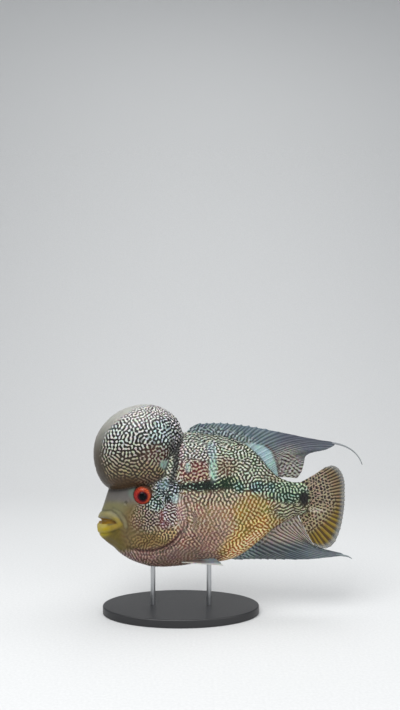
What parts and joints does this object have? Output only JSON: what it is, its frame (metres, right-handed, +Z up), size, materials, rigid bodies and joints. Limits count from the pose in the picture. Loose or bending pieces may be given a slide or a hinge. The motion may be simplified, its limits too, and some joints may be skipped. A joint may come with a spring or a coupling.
{
  "type": "flowerhorn cichlid museum model",
  "caption": "Life-size still model of a flowerhorn cichlid with a large nuchal hump and trailing fins, held over an oval base by two rods.",
  "frame": {"origin": "on the plane that the base stands on, in the middle of the model's length and width", "axes": "+X from snout to tail, +Y to the fish's right side, +Z up"},
  "size_m": [0.2688, 0.092, 0.2073],
  "materials": {
    "anal_fin": "satin fin membrane, blue-grey",
    "caudal_fin": "satin fin membrane, golden brown",
    "dorsal_fin": "satin fin membrane, blue-grey",
    "eye_left": "glossy red iris with a black pupil",
    "eye_right": "glossy red iris with a black pupil",
    "gill_cover_left": "satin skin with pale winding lines",
    "gill_cover_right": "satin skin with pale winding lines",
    "head": "satin olive skin",
    "lower_jaw": "satin yellow skin",
    "nuchal_hump": "satin skin with pale winding lines on dark brown",
    "pectoral_fin_left": "pale clear membrane",
    "pectoral_fin_right": "pale clear membrane",
    "pelvic_fin_left": "dark membrane with a white leading edge",
    "pelvic_fin_right": "dark membrane with a white leading edge",
    "stand_base": "plain satin black",
    "stand_rod_1": "plain satin steel",
    "stand_rod_2": "plain satin steel",
    "tail_stem": "satin scaled skin",
    "torso": "satin scaled skin"
  },
  "bodies": {
    "root": {"anal_fin": "anal_fin", "caudal_fin": "caudal_fin", "dorsal_fin": "dorsal_fin", "eye_left": "eye_left", "eye_right": "eye_right", "gill_cover_left": "gill_cover_left", "gill_cover_right": "gill_cover_right", "head": "head", "lower_jaw": "lower_jaw", "nuchal_hump": "nuchal_hump", "pectoral_fin_left": "pectoral_fin_left", "pectoral_fin_right": "pectoral_fin_right", "pelvic_fin_left": "pelvic_fin_left", "pelvic_fin_right": "pelvic_fin_right", "stand_base": "stand_base", "stand_rod_1": "stand_rod_1", "stand_rod_2": "stand_rod_2", "tail_stem": "tail_stem", "torso": "torso"}
  },
  "joints": []
}
